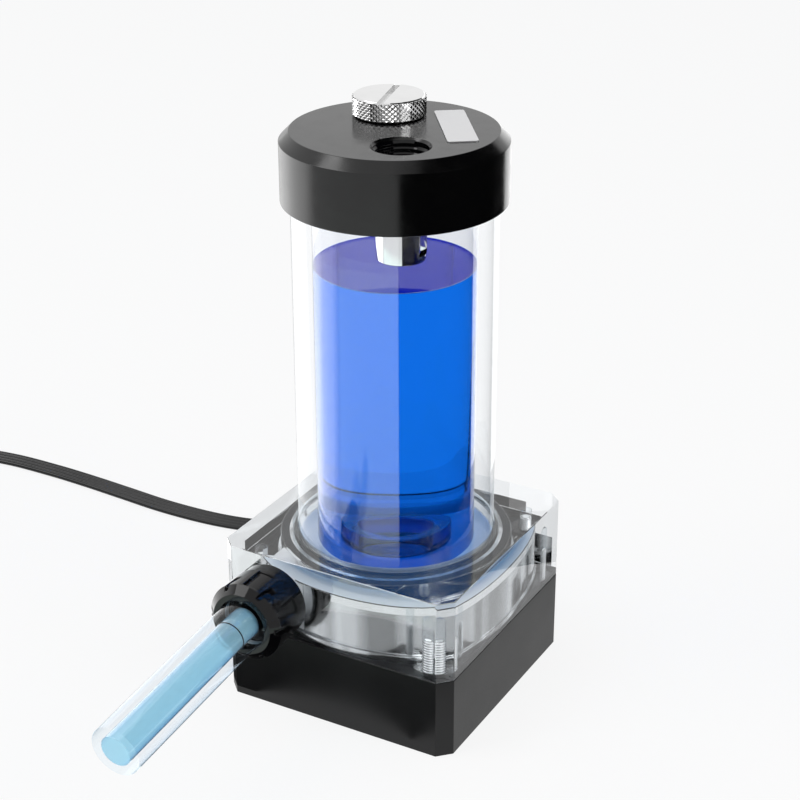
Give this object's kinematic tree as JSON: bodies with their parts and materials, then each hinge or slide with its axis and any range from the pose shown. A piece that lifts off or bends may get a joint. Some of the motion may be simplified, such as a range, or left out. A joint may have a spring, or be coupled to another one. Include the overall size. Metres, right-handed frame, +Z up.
{
  "type": "coolant pump reservoir",
  "caption": "Coolant pump on a square base with a clear block, a clear cylindrical reservoir, a black cap with two ports, a knurled filling plug, a side outlet fitting and a flat lead.",
  "frame": {"origin": "centre of the base's underside, on the reservoir's axis", "axes": "+Z up along the reservoir's axis; -Y out of the outlet's face; the lead leaves at +Y"},
  "size_m": [0.2447, 0.1597, 0.1523],
  "materials": {
    "black_anodised": "satin black anodised aluminium",
    "black_plastic": "matte black moulded plastic",
    "steel": "bright zinc-plated steel",
    "green_board": "green solder mask",
    "lamination": "stacked silicon steel",
    "copper": "enamelled copper winding",
    "seal_rubber": "black nitrile rubber",
    "ceramic": "ground white ceramic",
    "dark_plastic": "glass-filled dark plastic",
    "magnet": "ferrite magnet",
    "satin_aluminium": "turned satin aluminium",
    "clear_acrylic": "polished clear acrylic",
    "blue_tinted_acrylic": "clear acrylic, blue from the coolant",
    "clear_silicone": "translucent silicone",
    "blue_coolant": "blue dyed water-glycol coolant",
    "polished_chrome": "polished chrome plate",
    "satin_silver": "satin silver plate, bare",
    "gloss_black": "gloss black plated brass",
    "white_plastic": "natural acetal",
    "clear_hose": "clear rigid tube",
    "pale_coolant": "coolant seen through a small bore",
    "lead_jacket": "black lead insulation"
  },
  "bodies": {
    "base": {"motor_housing": "black_anodised", "bottom_cover": "black_plastic", "cover_screws": "steel", "circuit_board": "green_board", "board_parts": "black_plastic", "stator_core": "lamination", "stator_coils": "copper", "separating_cup": "black_plastic", "cup_seal": "seal_rubber", "rotor_shaft": "ceramic", "thrust_washer": "ceramic", "volute_housing": "satin_aluminium", "volute_seal": "seal_rubber", "clear_block": "clear_acrylic", "corner_screws": "steel", "intake_collar": "blue_tinted_acrylic", "reservoir_tube": "clear_acrylic", "lower_tube_seal": "clear_silicone", "coolant": "blue_coolant", "cap": "black_anodised", "upper_tube_seal": "seal_rubber", "return_sleeve": "polished_chrome", "label_plate": "satin_silver", "outlet_fitting": "gloss_black", "fitting_seal": "seal_rubber", "outlet_tube": "clear_hose", "outlet_coolant": "pale_coolant", "lead_grommet": "seal_rubber", "pump_lead": "lead_jacket", "lead_connector": "black_plastic"},
    "rotor": {"impeller": "dark_plastic", "rotor_magnet": "magnet", "rotor_bush": "ceramic"},
    "plug_seal": {"fill_plug_seal": "seal_rubber"},
    "plug": {"fill_plug": "polished_chrome"},
    "collar_ring": {"collar_slip_ring": "white_plastic"},
    "collar": {"compression_collar": "gloss_black"}
  },
  "joints": [
    {"name": "impeller_spin", "type": "hinge", "parent": "base", "child": "rotor", "pos_m": [0, 0, 0.03], "axis": [0, 0, 1], "continuous": true},
    {"name": "plug_rise", "type": "slide", "parent": "base", "child": "plug_seal", "axis": [0, 0, 1], "range_m": [0, 0.00735]},
    {"name": "plug_turn", "type": "hinge", "parent": "plug_seal", "child": "plug", "pos_m": [-0.00684, 0.00962, 0.14705], "axis": [0, 0, 1], "range_deg": [0, 1980]},
    {"name": "collar_creep", "type": "slide", "parent": "base", "child": "collar_ring", "axis": [0, -1, 0], "range_m": [0, 0.001]},
    {"name": "collar_turn", "type": "hinge", "parent": "collar_ring", "child": "collar", "pos_m": [-0.017, -0.0365, 0.0316], "axis": [0, -1, 0], "range_deg": [0, 360]}
  ],
  "couplings": [
    {"joint": "plug_turn", "follows": "plug_rise", "rad_per_m": 4699.5},
    {"joint": "collar_turn", "follows": "collar_creep", "rad_per_m": 6283.2}
  ]
}
